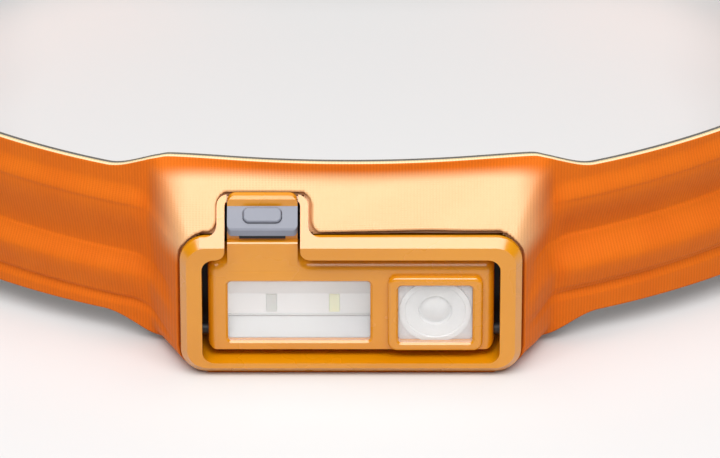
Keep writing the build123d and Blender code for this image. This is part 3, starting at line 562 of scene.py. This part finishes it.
def make_headband():
    s, z, outer, back, normal = band_shell()
    rows, columns = s.shape
    ox, oy = outer
    bx, by = back
    nx, ny = normal
    faces = shell_faces(rows, columns)
    gap = frame_distance(ox, z).ravel()
    size = rows * columns
    kept = [f for f in faces if not all(v < size and gap[v] < HOLE_CUT for v in f)]
    front = np.stack([ox, oy + FACE_Y, z], -1).reshape(-1, 3)
    rear = np.stack([bx, by + FACE_Y, z], -1).reshape(-1, 3)
    uv = np.stack([s, z], -1).reshape(-1, 2)
    band = new_object("headband_fabric", np.concatenate([front, rear]), kept, "band", FABRIC,
                      uvs=np.concatenate([uv, uv]))
    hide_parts("front_shroud", "side_band_left", "side_band_right")
    lining = []
    for inset in (0.05, 0.65):
        lining.append(np.stack([bx + inset * nx, by + inset * ny + FACE_Y, z], -1).reshape(-1, 3))
    liner = new_object("headband_lining", np.concatenate(lining), faces, "band", LINING,
                       uvs=np.concatenate([uv, uv]))
    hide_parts("band_lining")
    remove_loose(band)
    make_edge_highlight(s[-1], z[-1], outer, back, normal)


def make_edge_highlight(s, z, outer, back, normal):
    """Pale strip along the top of the band, between the cloth and the lining, its cream colour a painted
    highlight on the band's upper edge.
    """
    ox, oy = outer[0][-1], outer[1][-1] + FACE_Y
    bx, by = back[0][-1], back[1][-1] + FACE_Y
    nx, ny = normal[0][-1], normal[1][-1]
    rows = []
    corners = ((ox, oy, 0.12, -0.4), (ox, oy, 0.12, 0.06), (bx, by, -0.05, 0.06), (bx, by, -0.05, -0.4))
    for x, y, push, lift in corners:
        rows.append(np.stack([x + push * nx, y + push * ny, z + lift], -1))
    count = len(s)
    faces = []
    for c in range(count - 1):
        for r in range(4):
            a, b = r * count + c, (r + 1) % 4 * count + c
            faces.append((a, a + 1, b + 1, b))
    faces.append((0, count, 2 * count, 3 * count))
    faces.append((4 * count - 1, 3 * count - 1, 2 * count - 1, count - 1))
    # the strip's cream colour is a painted highlight
    new_object("headband_edge_highlight", np.concatenate(rows), faces, "band", EDGE_HIGHLIGHT,
               uvs=np.concatenate([np.stack([s, z], -1)] * 4))


def remove_loose(obj):
    """Deletes vertices that no face uses."""
    mesh = obj.data
    used = np.zeros(len(mesh.vertices), bool)
    index = np.zeros(len(mesh.loops), np.int32)
    mesh.loops.foreach_get("vertex_index", index)
    used[index] = True
    if used.all():
        return
    bm = bmesh.new()
    bm.from_mesh(mesh)
    bm.verts.ensure_lookup_table()
    bmesh.ops.delete(bm, geom=[v for v in bm.verts if not used[v.index]], context="VERTS")
    bm.to_mesh(mesh)
    bm.free()


# ---------------------------------------------------------------- elastic straps, stitching and foam pad

STRAP_MID = 1.65
LAYER_HALF = 0.62
BAR_X = 37.5
FOLD_R = 2.25
LAYER_APART = 0.75
WEAVE_PITCH = 1.5
WEAVE_DEPTH = 0.05
SIDE_X = (FRONT_R - TEMPLE_R) * math.sin(FRONT_TURN) + TEMPLE_R
SIDE_Y = FRONT_Y + FRONT_R - (FRONT_R - TEMPLE_R) * math.cos(FRONT_TURN)
STITCH_HALF = 0.9
STITCH_R = 0.24
PAD_CORNER = 6.0
PAD_EDGE = 1.45
PAD_CROWN = 0.65
PAD_RINGS = (1.0, 0.995, 0.98, 0.96, 0.93, 0.89, 0.82, 0.7, 0.55, 0.35, 0.15)


def strap_line(run):
    """Middle line of the right strap in plan and its outward normal, run from the side band's end."""
    r = REAR_R - STRAP_MID
    straight = SIDE_RUN - 1
    turn = np.clip((run - straight) / r, 0, math.pi / 2)
    x = SIDE_X - REAR_R + r * np.cos(turn) - np.maximum(run - straight - r * math.pi / 2, 0)
    y = SIDE_Y + SIDE_RUN + r * np.sin(turn) + np.minimum(run - straight, 0)
    return x, y, np.cos(turn), np.sin(turn)


def strap_loop():
    """The webbing's own path: out along the strap, round the bar and back inside itself."""
    total = SIDE_RUN - 1 + (REAR_R - STRAP_MID) * math.pi / 2 + SIDE_X - REAR_R - BAR_X
    run = np.linspace(0, total, 170)
    x, y, nx, ny = strap_line(run)
    apart = LAYER_APART + (FOLD_R - LAYER_APART) * smoothstep(total - 14, total - 1, run)
    out = np.stack([x + apart * nx, y + apart * ny, nx, ny, run], -1)
    back = np.stack([x - apart * nx, y - apart * ny, -nx, -ny, 2 * total + 7 - run], -1)[::-1]
    a = np.linspace(math.pi / 2, 3 * math.pi / 2, 17)[1:-1]
    bend = [BAR_X + FOLD_R * np.cos(a), y[-1] + FOLD_R * np.sin(a), np.cos(a), np.sin(a),
            total + FOLD_R * (a - math.pi / 2)]
    return np.concatenate([out, np.stack(bend, -1), back])


def strap_section():
    """Outline of one layer: its distance from the layer's middle and its height, with woven rows."""
    middle = (ELASTIC_LOW[2] + ELASTIC_HIGH[2]) / 2
    half = (ELASTIC_HIGH[2] - ELASTIC_LOW[2]) / 2
    z = np.linspace(-half, half, 97)
    edge = np.clip((np.abs(z) - half + 0.5) / 0.5, 0, 1)
    rows = WEAVE_DEPTH * np.cos(2 * math.pi * z / WEAVE_PITCH)
    d = (LAYER_HALF - WEAVE_DEPTH + rows) * np.sqrt(1 - 0.95 * edge ** 2)
    return np.concatenate([d, -d[::-1]]), np.concatenate([z, z[::-1]]) + middle


def make_strap(side, name, node):
    path = strap_loop()
    d, z = strap_section()
    x = side * (path[:, None, 0] + d * path[:, None, 2])
    y = path[:, None, 1] + d * path[:, None, 3] + FACE_Y
    verts = np.stack([x, y, np.broadcast_to(z, x.shape)], -1).reshape(-1, 3)
    along = np.broadcast_to(path[:, None, 4], x.shape)
    uvs = np.stack([along, np.broadcast_to(z, x.shape)], -1).reshape(-1, 2)
    ring, steps = len(z), len(path)
    faces = []
    for i in range(steps - 1):
        for j in range(ring):
            a, b = i * ring + j, i * ring + (j + 1) % ring
            faces.append((a, b, b + ring, a + ring)[::int(side)])
    faces.append(tuple(range(ring))[::-int(side)])
    faces.append(tuple(range((steps - 1) * ring, steps * ring))[::int(side)])
    strap = new_object(name, verts, faces, "band", WEBBING, uvs=uvs)
    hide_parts(node)


def make_stitches():
    """Two rows of thread that hold the strap in the end of each side band."""
    verts, faces = [], []
    for side in (-1, 1):
        for back in (2.5, 5.0):
            for z in np.arange(15.5, 35.0, 2.4):
                s = np.array(side * (BAND_END - back))
                x, y = outer_surface(s, np.array(z))
                _, _, nx, ny = band_line(s)
                base = len(verts)
                for t in np.linspace(-0.85, 0.85, 7):
                    thick = STITCH_R * math.sqrt(max(1 - (t / STITCH_HALF) ** 2, 0.02))
                    for a in np.linspace(0, 2 * math.pi, 8, endpoint=False):
                        push = -0.05 - thick * math.cos(a)
                        along = thick * math.sin(a)
                        verts.append((x + push * nx - along * ny, y + push * ny + along * nx + FACE_Y, z + t))
                for i in range(6):
                    for j in range(8):
                        p, q = base + i * 8 + j, base + i * 8 + (j + 1) % 8
                        faces.append((p, q, q + 8, p + 8))
                faces.append(tuple(base + j for j in range(7, -1, -1)))
                faces.append(tuple(base + 48 + j for j in range(8)))
    new_object("band_stitches", verts, faces, "band", THREAD)


def make_foam_pad():
    """Crowned foam pad on the pack's inner face."""
    low, high = [np.array(corner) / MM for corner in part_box("foam_pad")]
    half_x, half_z = (high[0] - low[0]) / 2, (high[2] - low[2]) / 2
    middle = (low + high) / 2
    outline = []
    for cx, cz, start in ((1, 1, 0), (-1, 1, 90), (-1, -1, 180), (1, -1, 270)):
        for a in np.radians(np.linspace(start, start + 90, 13)):
            across = cx * (half_x - PAD_CORNER) + PAD_CORNER * math.cos(a)
            up = cz * (half_z - PAD_CORNER) + PAD_CORNER * math.sin(a)
            outline.append((across, up))
    outline = np.array(outline)
    count = len(outline)
    verts, faces = [], []
    for k in PAD_RINGS:
        edge = (1 - k) * half_z
        rise = PAD_EDGE * math.sqrt(1 - (1 - min(edge / 1.5, 1)) ** 2)
        rise = rise + PAD_CROWN * float(smoothstep(0, 9, edge))
        for px, pz in outline * k:
            verts.append((middle[0] + px, high[1] - 0.05 - rise, middle[2] + pz))
    for i in range(len(PAD_RINGS) - 1):
        for j in range(count):
            a, b = i * count + j, i * count + (j + 1) % count
            faces.append((a, b, b + count, a + count))
    last = (len(PAD_RINGS) - 1) * count
    verts.append((middle[0], high[1] - 2.15, middle[2]))
    for j in range(count):
        faces.append((last + j, last + (j + 1) % count, len(verts) - 1))
    faces.append(tuple(range(count))[::-1])
    uvs = [(v[0], v[2]) for v in verts]
    pad = new_object("foam_cushion", verts, faces, "band", FOAM, uvs=uvs)
    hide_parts("foam_pad")


# ---------------------------------------------------------------- stage, light and camera

def plain_stage():
    mesh = bpy.data.meshes.new("floor")
    half = 6.0
    corners = [(-half, -half, 0), (half, -half, 0), (half, half, 0), (-half, half, 0)]
    mesh.from_pydata(corners, [], [(0, 1, 2, 3)])
    floor = bpy.data.objects.new("floor", mesh)
    bpy.context.scene.collection.objects.link(floor)
    m = Maker("floor")
    m.set(Base_Color=(0.72, 0.72, 0.72, 1), Roughness=0.9)
    mesh.materials.append(m.material)
    floor.location.z = -0.0002


def area_light(name, place, target, size, power, colour=(1, 1, 1)):
    data = bpy.data.lights.new(name, "AREA")
    data.shape = "RECTANGLE"
    data.size, data.size_y = size
    data.energy = power
    data.color = colour
    light = bpy.data.objects.new(name, data)
    light.location = place
    light.rotation_mode = "QUATERNION"
    light.rotation_quaternion = (Vector(target) - Vector(place)).to_track_quat("-Z", "Y")
    bpy.context.scene.collection.objects.link(light)


def studio():
    """Overhead and high front softboxes with a weak front fill."""
    world = bpy.data.worlds.new("studio")
    world.use_nodes = True
    world.node_tree.nodes["Background"].inputs["Color"].default_value = (1, 1, 1, 1)
    world.node_tree.nodes["Background"].inputs["Strength"].default_value = 0.06
    bpy.context.scene.world = world
    middle = (0, FACE_Y * MM, 0.02)
    for name, elevation, distance, size, power in (("top", 90, 0.9, (1.0, 0.8), 4.0),
                                                   ("key", 60, 0.9, (1.3, 0.32), 9.5),
                                                   ("fill", 40, 1.7, (0.9, 0.3), 4.5)):
        angle = math.radians(elevation)
        place = (0, FACE_Y * MM - distance * math.cos(angle), 0.02 + distance * math.sin(angle))
        area_light(name, place, middle, size, power)
    bpy.context.scene.view_settings.view_transform = "Standard"


def camera():
    data = bpy.data.cameras.new("camera")
    data.lens = 380.5
    data.sensor_width = 36.0
    data.clip_start = 0.05
    data.clip_end = 50.0
    cam = bpy.data.objects.new("camera", data)
    bpy.context.scene.collection.objects.link(cam)
    elevation = math.radians(32.2)
    target = Vector((1.83 * MM, FACE_Y * MM, 35.9 * MM))
    back = Vector((0, -math.cos(elevation), math.sin(elevation)))
    cam.location = target + back * 1.54
    cam.rotation_mode = "QUATERNION"
    cam.rotation_quaternion = (-back).to_track_quat("-Z", "Y")
    bpy.context.scene.camera = cam


camera()
studio()
plain_stage()
paint_nodes()
make_headband()
make_strap(1, "elastic_webbing_right", "elastic_strap_right")
make_strap(-1, "elastic_webbing_left", "elastic_strap_left")
make_stitches()
make_foam_pad()
